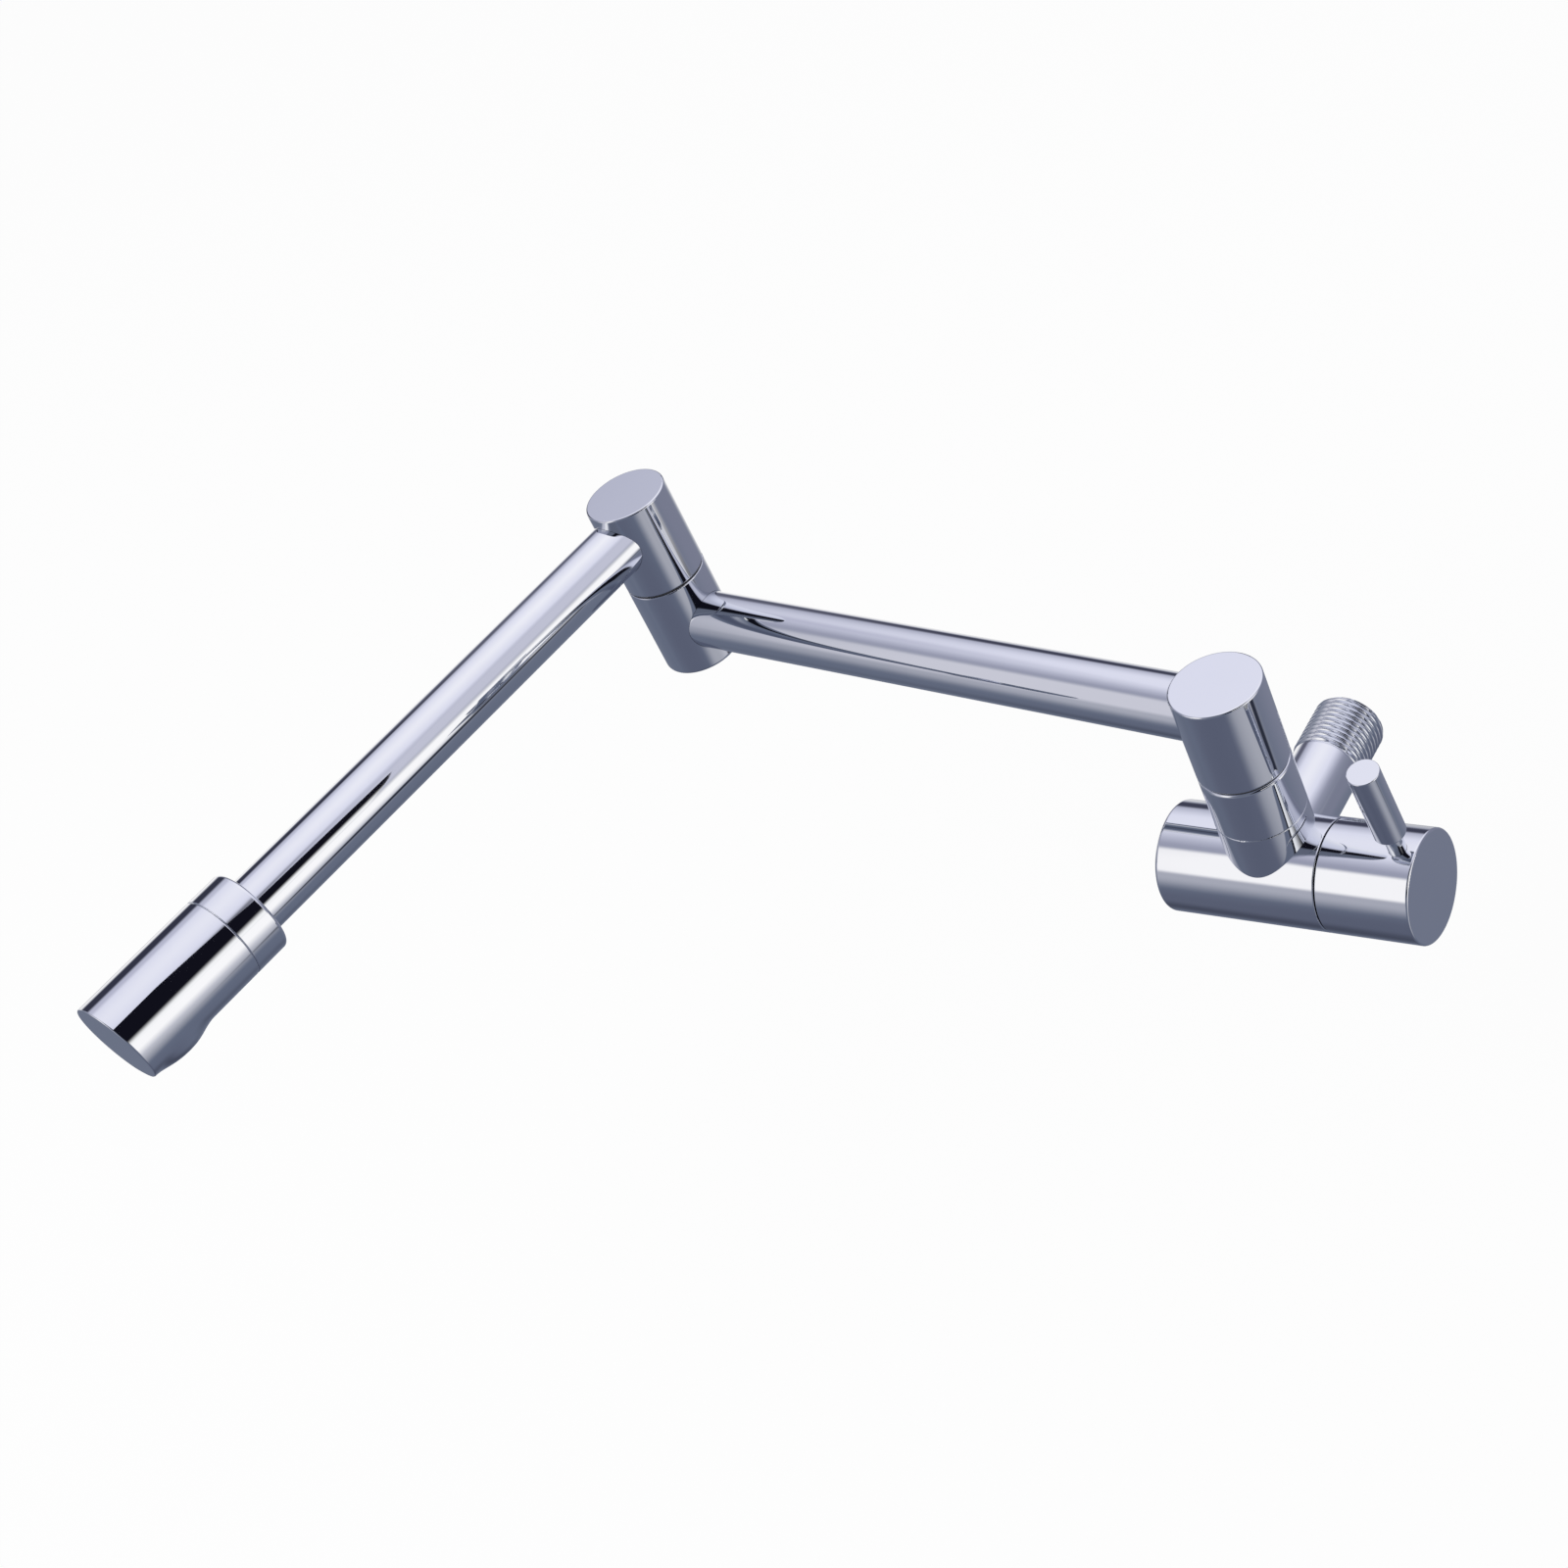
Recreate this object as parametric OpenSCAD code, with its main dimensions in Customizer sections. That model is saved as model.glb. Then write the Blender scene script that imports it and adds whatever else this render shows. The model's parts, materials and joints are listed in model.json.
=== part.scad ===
// Folding wall tap: a lever valve with two swivelling arms and a spout head, in millimetres.
// Origin: centre of the inlet's end face. +Y runs along the inlet into the wall, +Z is up.

/* [Inlet] */
// Major diameter of the inlet's G1/2 pipe thread
thread_d = 20.955; // [16.6:0.005:26.4]
// Length of the threaded stretch
thread_len = 19; // [10:0.5:25]
// Diameter of the plain stretch between thread and valve
shank_d = 20; // [16:0.1:20.4]
// Bore of the inlet tube
inlet_bore = 14; // [8:0.5:15]
// From the inlet's end face to the valve's axis
inlet_reach = 59; // [50:0.5:90]
// From the inlet's axis to the first swivel's axis, along X
inlet_offset = 3.5; // [3:0.5:5]

/* [Valve] */
// Outer diameter of the valve body and of the knob
body_d = 32; // [31:0.5:36]
// From the first swivel's axis to the closed end of the valve body
body_left = 31.5; // [30:0.5:45]
// From the first swivel's axis to the split between valve body and knob
body_right = 17.2; // [17:0.1:18]
// Bore that holds the cartridge
chamber_d = 20; // [19.6:0.1:21]
// Bore of the supply chamber behind the cartridge
supply_d = 13; // [11:0.5:14]
// Length of the supply chamber
supply_len = 17; // [14:0.5:20]
// Drilled port from the inlet to the supply chamber
port_d = 7; // [5:0.5:7]
// Height of the collar's top face over the valve's axis
collar_top = 23.5; // [22.5:0.5:28]

/* [Cartridge] */
// Diameter of the ceramic discs
disc_d = 16; // [15:0.1:16.2]
// Thickness of each ceramic disc
disc_t = 2.5; // [2:0.1:3]
// Opening angle of each port through the discs
port_angle = 80; // [60:1:84]
// Diameter of the spindle's stem
stem_d = 8; // [7:0.1:9]
// Quarter turn of the handle between its stops
turn_angle = 90; // [60:1:90]
// Diameter of the gland nut's threaded part
nut_d = 22; // [21:0.1:23]
// Width across the gland nut's flats
nut_flats = 23; // [22.4:0.1:23.6]

/* [Handle] */
// Length of the knob
knob_len = 26.8; // [24:0.2:32]
// Gap between valve body and knob
knob_gap = 0.4; // [0.2:0.1:0.8]
// From the first swivel's axis to the lever
lever_at = 39; // [37:0.5:40]
// Diameter of the lever's rod
lever_d = 8.9; // [7:0.1:11]
// Diameter of the lever's thin neck
neck_d = 5; // [4:0.1:6]
// Visible height of the neck over the knob
neck_len = 7; // [2:0.5:9]
// From the valve's axis to the lever's tip
lever_tip = 48.5; // [36:0.1:48.5]
// Lean of the lever out of the vertical, away from the wall
lever_lean = 7.5; // [0:0.5:20]

/* [Swivels] */
// Outer diameter of the swivel pillars
pillar_d = 26; // [25:0.5:30]
// Diameter of the spigots that the hubs turn on
spigot_d = 16; // [14:0.5:16.5]
// Diameter of the screwed ends of riser and elbow spigot
socket_d = 19; // [18.5:0.5:20]
// Water bore through riser and elbow spigot
spigot_bore = 9; // [6:0.5:9.5]
// Length of the riser between the collar and the first hub
riser_len = 17; // [14.5:0.5:18]
// From the first arm's axis up to the first hub's top face
base_cap = 11; // [10.5:0.5:16]
// From the first arm's axis down to the elbow's lower face
elbow_foot = 14; // [12:0.5:16]
// From the first arm's axis up to the split in the elbow
elbow_rise = 17.6; // [15.8:0.1:22]
// From the second arm's axis up to the elbow's top face
elbow_cap = 12; // [10.5:0.5:17]
// Thickness of the slip rings between the turning faces
slip_t = 0.5; // [0.4:0.1:0.8]
// Section of the O-rings
ring_section = 1.6; // [1.4:0.1:1.7]

/* [Arms] */
// Outer diameter of the arm tubes
tube_d = 18; // [16:0.5:18]
// Inner diameter of the arm tubes
tube_bore = 15; // [12:0.5:15]
// From the riser's top face up to the first arm's axis
arm_1_rise = 17.5; // [17:0.5:21]
// From the split in the elbow up to the second arm's axis
arm_2_rise = 18.9; // [17:0.1:24]
// Distance between the two swivel axes
arm_1_len = 203; // [150:1:260]
// Direction of the first arm, counter-clockwise from +X
arm_1_angle = 173.5; // [150:0.5:210]
// Direction of the second arm, counter-clockwise from +X
arm_2_angle = 261; // [200:0.5:330]

/* [Head] */
// Diameter of the spout head
head_d = 27.4; // [26.5:0.1:32]
// From the second swivel's axis to the back of the head's collar
head_start = 171.5; // [140:0.5:220]
// Length of the collar
collar_len = 11.5; // [10:0.5:16]
// Length of the head in front of the collar
head_len = 41.2; // [40:0.1:50]
// Rake of the head's end face
end_rake = 4; // [0:0.5:8]
// From the collar's front face to the outlet's axis
outlet_at = 28.6; // [28:0.1:29.5]
// Bore for the aerator
outlet_d = 18.5; // [16:0.1:18.6]
// Depth of the outlet's rim under the arm's axis
outlet_drop = 13.9; // [13.8:0.1:14.5]
// Rounding of the swelling round the outlet
boss_round = 4; // [2.5:0.1:4.5]
// How deep the aerator sits in the outlet
aerator_sink = 1.6; // [1.4:0.1:2]
// Width across the flats of the aerator's honeycomb cells
cell_w = 2; // [1.4:0.1:2.2]

/* [Hidden] */

turn_fn = 96;
small_fn = 48;
hull_fn = 48;
rim_fn = 32;
boss_fn = 24;

over = 1;             // how far a cutter runs past the face that it opens
thread_fit = 0.05;    // radial room between screwed or brazed parts
run_fit = 0.05;       // radial room between turning parts
lap_fit = 0.02;       // room between faces that slide on each other
slot_room = 0.1;      // room on each side of a tongue in its slot
edge = 0.6;           // rounding of the bright rims
split_edge = 0.3;     // rounding where two screwed parts meet

chrome = [0.80, 0.82, 0.86];
brass = [0.80, 0.66, 0.36];
ceramic = [0.93, 0.92, 0.88];
rubber = [0.10, 0.10, 0.11];
nylon = [0.80, 0.80, 0.78];
steel = [0.66, 0.67, 0.69];

body_r = body_d / 2;
pillar_r = pillar_d / 2;
tube_r = tube_d / 2;
head_r = head_d / 2;
spigot_r = spigot_d / 2;
chamber_r = chamber_d / 2;
valve_origin = [inlet_offset, -inlet_reach, 0];

// Heights over the valve's axis
riser_top = collar_top + riser_len;
arm_1_z = riser_top + arm_1_rise;
base_top = arm_1_z + base_cap;
elbow_bottom = arm_1_z - elbow_foot;
elbow_split = arm_1_z + elbow_rise;
arm_2_z = elbow_split + arm_2_rise;
elbow_top = arm_2_z + elbow_cap;

// Inlet, measured from the valve's axis towards the wall
tail_seat = sqrt(pow(body_r, 2) - pow(shank_d / 2, 2)) - 0.3;
thread_start = inlet_reach - thread_len;

// Cartridge, measured along the valve's axis from the first swivel's axis
seat_x = -6.5;
port_x = seat_x - port_d / 2 - 0.1;
seal_t = 1.5;
fixed_x = seat_x + seal_t;
moving_x = fixed_x + disc_t + lap_fit;
window_lead = 0.3;
window_x = moving_x + disc_t + window_lead;
window_len = 5;
window_w = 8;
foot_lead = 0.4;
foot_x = window_x + window_len + foot_lead;
foot_t = 2;
foot_play = 0.2;
wall_x = foot_x + foot_t + foot_play;
wall_t = 3.2;
shoulder_x = wall_x + wall_t;
neck_len_x = 5;
neck_end_x = shoulder_x + neck_len_x;
clip_x = neck_end_x + lap_fit;
clip_t = 0.8;
flats_len = 3.3;
flats_r = nut_flats / cos(30) / 2;
spline_end_x = 36;

sleeve_r = chamber_r - run_fit;
sleeve_bore_r = disc_d / 2 + 0.1;
relief_depth = 0.8;
relief_lip = 0.5;
relief_r = sleeve_r - relief_depth;
ear_w = 3;
ear_r = sleeve_r - 0.5;
port_r_in = 2.4;
port_r_out = disc_d / 2 - 1;
neck_r = stem_d / 2 + 2.5;
stem_r = stem_d / 2;
clip_groove_r = stem_r - 0.8;
flat_r = stem_r - 0.6;
foot_r = stem_r + 1.4;
lug_r = sleeve_bore_r - 0.3;
stop_gap = 0.3;       // radial room between the spindle's foot and the stop
stop_root = 0.3;      // how far the stop reaches into the sleeve's wall
stop_seat = 0.5;      // how far the stop reaches into the end wall
lug_from = -20;
lug_to = 20;
stop_room = 0.5;      // angle left between lug and stop at each end of the turn
blade_t = 3;
blade_w = 2 * foot_r - 0.4;
blade_depth = 1.2;
cartridge_ring_x = wall_x + wall_t / 2;
stem_ring_x = shoulder_x + neck_len_x / 2;

// Knob and lever
knob_x = body_right + knob_gap;
knob_end = knob_x + knob_len;
cavity_room = 0.7;
cavity_depth_room = 1.2;
cavity_r = flats_r + cavity_room;
cavity_end = body_right + flats_len + cavity_depth_room;
stud_depth = 9;
screw_at = 31.5;
knob_screw_d = 5;
knob_screw_len = 6;

// Swivel spigots, measured up from the split that they stand on
washer_t = 1;
groove_low = 2.6;
groove_w = 3;
groove_r = spigot_r - 1.5;
ring_gap_w = ring_section + 0.4;
ring_low = groove_low + groove_w + 0.8;
ring_pitch = ring_gap_w + 0.8;
spigot_len = ring_low + 2 * ring_pitch;
ring_groove_r = spigot_r - ring_section - run_fit;
hub_bore_r = spigot_r + run_fit;
hub_roof = 3.4;
slip_room = 0.05;
hub_lift = slip_t + slip_room;
base_side = -90;      // direction of each captive screw, from its arm
elbow_side = 180;
stop_screw_d = 4;
stop_tip_d = 2.5;
stop_sink = 0.4;
riser_depth = collar_top - washer_t - chamber_r - 2.5;
elbow_depth = elbow_split - washer_t - arm_1_z - tube_r - 0.5;

// Arms: from a swivel's axis to the end of a tube in its hub
tube_stop = spigot_r + 0.7;

// Head, measured along the second arm from the second swivel's axis
collar_end = head_start + collar_len;
head_end = collar_end + head_len;
outlet_x = collar_end + outlet_at;
tube_seat = 8;
nipple_wall = 1.5;
nipple_d = tube_d + 2 * nipple_wall;
nipple_len = 8;
head_washer_t = 1.2;
chamber_web = 2;
chamber_end = outlet_x - outlet_d / 2 - chamber_web;
way_r = 6;
boss_wall = 1.2;
boss_r = outlet_d / 2 + boss_wall;
boss_lead = 8;
boss_start = collar_end + boss_lead;
boss_tail = 1.5;
boss_slice = 0.5;
boss_inset = 0.15;
seat_drop = outlet_drop - aerator_sink;
aerator_len = 7.6;
aerator_washer_t = 1.4;
shell_wall = 1.4;
shell_lip = 1.2;
shell_lip_w = 2.2;
key_w = 2.4;
insert_len = 5;
cell_pitch = cell_w + 0.5;
cell_rings = 3;

// What a rounding takes off a square corner: the arc's centre at the origin, the corner at [round, round]
module rim_waste(round, fn) {
    difference() {
        square(round + over);
        circle(r = round, $fn = fn);
    }
}

// Half section of a solid bar with rounded rims
module half_bar(r, z0, z1, low, high, fn = rim_fn) {
    difference() {
        translate([0, z0]) square([r, z1 - z0]);
        if (low > 0) translate([r - low, z0 + low]) mirror([0, 1]) rim_waste(low, fn);
        if (high > 0) translate([r - high, z1 - high]) rim_waste(high, fn);
    }
}

module turned(r, z0, z1, low = edge, high = edge) {
    rotate_extrude($fn = turn_fn) half_bar(r, z0, z1, low, high);
}

module rod(r, z0, z1, fn = turn_fn) {
    translate([0, 0, z0]) cylinder(r = r, h = z1 - z0, $fn = fn);
}

module ring(r_out, r_in, z0, z1) {
    difference() {
        rod(r_out, z0, z1);
        rod(r_in, z0 - over, z1 + over);
    }
}

module o_ring(r_out, z) {
    translate([0, 0, z]) rotate_extrude($fn = turn_fn)
        translate([r_out - ring_section / 2, 0]) circle(d = ring_section, $fn = 24);
}

// Slice of a disc, for ports, lugs and stops
module sector(r_in, r_out, from, to, z0, z1) {
    translate([0, 0, z0]) rotate([0, 0, from]) rotate_extrude(angle = to - from, $fn = turn_fn)
        translate([r_in, 0]) square([r_out - r_in, z1 - z0]);
}

module at_valve() {
    translate(valve_origin) children();
}

// Local Z runs along the valve's axis to the knob, and local -X points up
module along_valve() {
    at_valve() rotate([0, 90, 0]) children();
}

// Local Z runs along the inlet to the wall, starting at the height of the valve's axis
module along_inlet() {
    translate([0, -inlet_reach, 0]) rotate([-90, 0, 0]) children();
}

// Local Z runs along the lever, from the valve's axis
module along_lever() {
    at_valve() translate([lever_at, 0, 0]) rotate([lever_lean, 0, 0]) children();
}

// Local X runs along the first arm, from the first swivel's axis
module on_lower_arm() {
    at_valve() rotate([0, 0, arm_1_angle]) children();
}

module at_elbow() {
    on_lower_arm() translate([arm_1_len, 0, 0]) children();
}

// Local X runs along the second arm, from the second swivel's axis
module on_upper_arm() {
    at_elbow() rotate([0, 0, arm_2_angle - arm_1_angle]) children();
}

// Local Z runs along an arm at the given height
module along_arm(height) {
    translate([0, 0, height]) rotate([0, 90, 0]) children();
}

// Local Z runs up from the aerator's lower face
module at_outlet() {
    on_upper_arm() translate([outlet_x, 0, arm_2_z - seat_drop]) children();
}

module valve_body() {
    color(chrome) difference() {
        union() {
            along_valve() turned(body_r, -body_left, body_right, edge * 2, split_edge);
            at_valve() turned(pillar_r, 0, collar_top, 0, split_edge);
        }
        along_valve() {
            rod(chamber_r, seat_x, body_right + over);
            rod(supply_d / 2, seat_x - supply_len, seat_x + over);
            rod(nut_d / 2 + thread_fit, shoulder_x - 0.2, body_right + over);
        }
        along_inlet() {
            rod(shank_d / 2 + thread_fit, tail_seat, body_r + over);
            translate([inlet_offset + port_x, 0, 0]) rod(port_d / 2, 0, tail_seat + lap_fit, small_fn);
        }
        at_valve() {
            rod(socket_d / 2, collar_top - riser_depth - washer_t, collar_top + over);
            rod(spigot_bore / 2, 0, collar_top, small_fn);
        }
    }
}

module inlet_tail() {
    color(chrome) along_inlet() difference() {
        union() {
            rod(shank_d / 2, tail_seat, thread_start);
            rod(thread_d / 2, thread_start, inlet_reach);
        }
        rod(inlet_bore / 2, tail_seat - over, inlet_reach + over);
    }
}

module seat_seal() {
    color(rubber) along_valve() ring(chamber_r - 0.1, supply_d / 2, seat_x, fixed_x);
}

module cartridge_housing() {
    color(brass) along_valve() {
        difference() {
            union() {
                rod(sleeve_r, fixed_x, shoulder_x);
                rod(neck_r, shoulder_x - over, neck_end_x);
            }
            rod(sleeve_bore_r, fixed_x - over, wall_x);
            rod(stem_r + run_fit, wall_x - over, neck_end_x + over);
            ring(sleeve_r + over, relief_r, window_x - relief_lip, window_x + window_len + relief_lip);
            ring(sleeve_r + over, chamber_r - ring_section - 2 * run_fit,
                 cartridge_ring_x - ring_gap_w / 2, cartridge_ring_x + ring_gap_w / 2);
            for (a = [45 : 90 : 315])
                rotate([0, 0, a]) translate([sleeve_bore_r - 2, -window_w / 2, window_x])
                    cube([chamber_r, window_w, window_len]);
            for (a = [90, 270])
                rotate([0, 0, a]) translate([0, -ear_w / 2 - slot_room, fixed_x - over])
                    cube([chamber_r + over, ear_w + 2 * slot_room, disc_t + over]);
        }
        difference() {
            sector(foot_r + stop_gap, sleeve_bore_r + stop_root, lug_to + turn_angle + stop_room,
                   lug_from - stop_room + 360, foot_x, wall_x + stop_seat);
            rod(stem_r + run_fit, foot_x - over, wall_x + over);
        }
    }
}

module cartridge_o_ring() {
    color(rubber) along_valve() o_ring(chamber_r - run_fit, cartridge_ring_x);
}

// Both discs have two opposite ports; the moving one's lie a quarter turn away while the valve is shut
module disc_ports(middle, z0, z1) {
    for (a = [middle, middle + 180])
        sector(port_r_in, port_r_out, a - port_angle / 2, a + port_angle / 2, z0, z1);
}

module fixed_disc() {
    color(ceramic) along_valve() difference() {
        union() {
            rod(disc_d / 2, fixed_x, fixed_x + disc_t);
            translate([-ear_w / 2, -ear_r, fixed_x]) cube([ear_w, 2 * ear_r, disc_t - slot_room]);
        }
        disc_ports(0, fixed_x - over, fixed_x + disc_t + over);
    }
}

module moving_disc() {
    slot_z = moving_x + disc_t - blade_depth;
    slot = [blade_w + 2 * slot_room, blade_t + 2 * slot_room, blade_depth + over];
    color(ceramic) along_valve() difference() {
        rod(disc_d / 2, moving_x, moving_x + disc_t);
        disc_ports(90, moving_x - over, moving_x + disc_t + over);
        translate([-slot.x / 2, -slot.y / 2, slot_z]) cube(slot);
    }
}

module gland_nut() {
    color(brass) along_valve() difference() {
        union() {
            rod(nut_d / 2, shoulder_x, body_right + over);
            translate([0, 0, body_right]) cylinder(r = flats_r, h = flats_len, $fn = 6);
        }
        rod(neck_r + thread_fit, shoulder_x - over, body_right + flats_len + over);
    }
}

module spindle() {
    blade_z = moving_x + disc_t - blade_depth + slot_room;
    color(brass) along_valve() difference() {
        union() {
            rod(stem_r, foot_x, spline_end_x);
            rod(foot_r, foot_x, foot_x + foot_t);
            sector(stem_r - over, lug_r, lug_from, lug_to, foot_x, foot_x + foot_t);
            translate([-blade_w / 2, -blade_t / 2, blade_z])
                cube([blade_w, blade_t, foot_x + 0.5 - blade_z]);
        }
        ring(stem_r + over, stem_r - ring_section,
             stem_ring_x - ring_gap_w / 2, stem_ring_x + ring_gap_w / 2);
        ring(stem_r + over, clip_groove_r, clip_x - lap_fit, clip_x + clip_t + slot_room);
        rotate([0, 0, lever_lean]) translate([flat_r, -stem_r, screw_at - knob_screw_d])
            cube([stem_r, stem_d, 2 * knob_screw_d]);
    }
}

module spindle_o_ring() {
    color(rubber) along_valve() o_ring(stem_r, stem_ring_x);
}

module spindle_clip() {
    color(steel) along_valve() difference() {
        rod(stem_r + 1.9, clip_x, clip_x + clip_t);
        rod(clip_groove_r + 0.05, clip_x - over, clip_x + clip_t + over);
        translate([0, -clip_groove_r * 0.8, clip_x - over])
            cube([stem_d, clip_groove_r * 1.6, clip_t + 2 * over]);
    }
}

module knob() {
    color(chrome) difference() {
        along_valve() turned(body_r, knob_x, knob_end, split_edge, edge);
        along_valve() {
            rod(cavity_r, knob_x - over, cavity_end);
            rod(stem_r + thread_fit, knob_x, spline_end_x + 0.5);
        }
        along_lever() rod(neck_d / 2 + thread_fit, body_r - stud_depth, body_r + over, small_fn);
        along_knob_screw() rod(knob_screw_d / 2 + thread_fit, 0, body_r + over, small_fn);
    }
}

// Local Z runs out from the valve's axis through the knob's screw, opposite the lever
module along_knob_screw() {
    at_valve() translate([screw_at, 0, 0]) rotate([lever_lean + 180, 0, 0]) children();
}

module set_screw(d, z0, z1, tip_d, tip_len) {
    socket_flats = d / 2;
    difference() {
        union() {
            rod(d / 2, z0 + tip_len, z1, small_fn);
            rod(tip_d / 2, z0, z1 - over, small_fn);
        }
        translate([0, 0, z1 - d / 2])
            cylinder(r = socket_flats / cos(30) / 2, h = d, $fn = 6);
    }
}

module knob_screw() {
    color(steel) along_knob_screw()
        set_screw(knob_screw_d, flat_r, flat_r + knob_screw_len, knob_screw_d - 1.5, 1);
}

module lever() {
    color(chrome) along_lever() {
        turned(lever_d / 2, body_r + neck_len, lever_tip, edge, split_edge);
        rod(neck_d / 2, body_r - stud_depth + 0.2, body_r + neck_len + over, small_fn);
    }
}

// Spigot with a groove for the captive screw and two for O-rings
module spigot(z) {
    top = z + spigot_len;
    groove_at = z + groove_low;
    rings = [for (i = [0, 1]) z + ring_low + i * ring_pitch];
    rotate_extrude($fn = turn_fn) polygon(concat(
        [[0, z - over], [spigot_r, z - over]],
        [[spigot_r, groove_at], [groove_r, groove_at], [groove_r, groove_at + groove_w],
         [spigot_r, groove_at + groove_w]],
        [for (g = rings) each [[spigot_r, g], [ring_groove_r, g], [ring_groove_r, g + ring_gap_w],
                               [spigot_r, g + ring_gap_w]]],
        [[spigot_r, top - split_edge], [spigot_r - split_edge, top], [0, top]]));
}

module spigot_rings(z) {
    for (i = [0, 1])
        o_ring(spigot_r, z + ring_low + i * ring_pitch + ring_gap_w / 2);
}

module slip_ring(z) {
    ring(pillar_r - edge, spigot_r + 0.1, z, z + slip_t);
}

// Room in a hub for a spigot below and for a tube at the side
module hub_ways(floor_z, roof_z, tube_z) {
    rod(hub_bore_r, floor_z - over, roof_z);
    along_arm(tube_z) {
        rod(tube_r + thread_fit, tube_stop, pillar_r + over);
        rod(tube_bore / 2, 0, tube_stop + over);
    }
}

// Radial line of a captive screw in the hub whose spigot stands at z
module along_stop_screw(z, side) {
    translate([0, 0, z + groove_low + groove_w / 2]) rotate([0, 0, side]) rotate([0, 90, 0]) children();
}

module stop_screw() {
    set_screw(stop_screw_d, groove_r + slot_room, pillar_r - stop_sink,
              stop_tip_d, spigot_r - groove_r + 0.3);
}

module stop_hole() {
    rod(stop_screw_d / 2 + thread_fit, 0, pillar_r + over, small_fn);
}

module riser() {
    color(chrome) at_valve() difference() {
        union() {
            turned(pillar_r, collar_top, riser_top, split_edge, edge * 1.4);
            rod(socket_d / 2 - thread_fit, collar_top - riser_depth, collar_top + over);
            spigot(riser_top);
        }
        rod(spigot_bore / 2, collar_top - riser_depth - over, riser_top + spigot_len + over, small_fn);
    }
}

module riser_washer() {
    z = collar_top - riser_depth - washer_t;
    color(rubber) at_valve() ring(socket_d / 2 - 0.3, spigot_bore / 2 + 0.3, z, z + washer_t);
}

module base_o_rings() {
    color(rubber) at_valve() spigot_rings(riser_top);
}

module base_slip_ring() {
    color(nylon) at_valve() slip_ring(riser_top);
}

module base_hub() {
    color(chrome) on_lower_arm() difference() {
        turned(pillar_r, riser_top + hub_lift, base_top);
        hub_ways(riser_top + hub_lift, base_top - hub_roof, arm_1_z);
        along_stop_screw(riser_top, base_side) stop_hole();
    }
}

module base_screw() {
    color(steel) on_lower_arm() along_stop_screw(riser_top, base_side) stop_screw();
}

module arm_1_tube() {
    color(chrome) on_lower_arm() along_arm(arm_1_z)
        ring(tube_r, tube_bore / 2, tube_stop, arm_1_len - tube_stop);
}

module elbow_lower_hub() {
    color(chrome) at_elbow() difference() {
        turned(pillar_r, elbow_bottom, elbow_split, edge * 2, split_edge);
        rod(socket_d / 2, elbow_split - elbow_depth - washer_t, elbow_split + over);
        rod(tube_bore / 2 - 0.5, arm_1_z - tube_bore / 2, elbow_split);
        rotate([0, 0, 180]) along_arm(arm_1_z) {
            rod(tube_r + thread_fit, tube_stop, pillar_r + over);
            rod(tube_bore / 2, 0, tube_stop + over);
        }
    }
}

module elbow_spigot() {
    color(brass) at_elbow() difference() {
        union() {
            rod(socket_d / 2 - thread_fit, elbow_split - elbow_depth, elbow_split);
            spigot(elbow_split);
        }
        rod(spigot_bore / 2, elbow_split - elbow_depth - over, elbow_split + spigot_len + over, small_fn);
    }
}

module elbow_washer() {
    z = elbow_split - elbow_depth - washer_t;
    color(rubber) at_elbow() ring(socket_d / 2 - 0.3, tube_bore / 2 - 0.5, z, z + washer_t);
}

module elbow_o_rings() {
    color(rubber) at_elbow() spigot_rings(elbow_split);
}

module elbow_slip_ring() {
    color(nylon) at_elbow() slip_ring(elbow_split);
}

module elbow_upper_hub() {
    color(chrome) on_upper_arm() difference() {
        turned(pillar_r, elbow_split + hub_lift, elbow_top);
        hub_ways(elbow_split + hub_lift, elbow_top - hub_roof, arm_2_z);
        along_stop_screw(elbow_split, elbow_side) stop_hole();
    }
}

module elbow_screw() {
    color(steel) on_upper_arm() along_stop_screw(elbow_split, elbow_side) stop_screw();
}

module arm_2_tube() {
    color(chrome) on_upper_arm() along_arm(arm_2_z)
        ring(tube_r, tube_bore / 2, tube_stop, head_start + tube_seat);
}

module head_collar() {
    color(chrome) on_upper_arm() along_arm(arm_2_z) difference() {
        union() {
            turned(head_r, head_start, collar_end, edge * 2, split_edge);
            rod(nipple_d / 2 - thread_fit, collar_end - over, collar_end + nipple_len);
        }
        rod(tube_r + thread_fit, head_start - over, head_start + tube_seat);
        rod(tube_bore / 2, head_start, collar_end + nipple_len + over);
    }
}

module head_washer() {
    z = collar_end + nipple_len;
    color(rubber) on_upper_arm() along_arm(arm_2_z)
        ring(nipple_d / 2 - 0.3, tube_bore / 2, z, z + head_washer_t);
}

// The swelling under the head that makes room for the outlet
module outlet_boss() {
    hull() {
        translate([outlet_x, 0, 0]) rotate_extrude($fn = hull_fn)
            half_bar(boss_r, -outlet_drop, 0, boss_round, 0, boss_fn);
        for (x = [boss_start, head_end - boss_tail])
            translate([x, 0, 0]) rotate([0, 90, 0])
                cylinder(r = head_r - boss_inset, h = boss_slice, $fn = hull_fn);
    }
}

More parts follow.
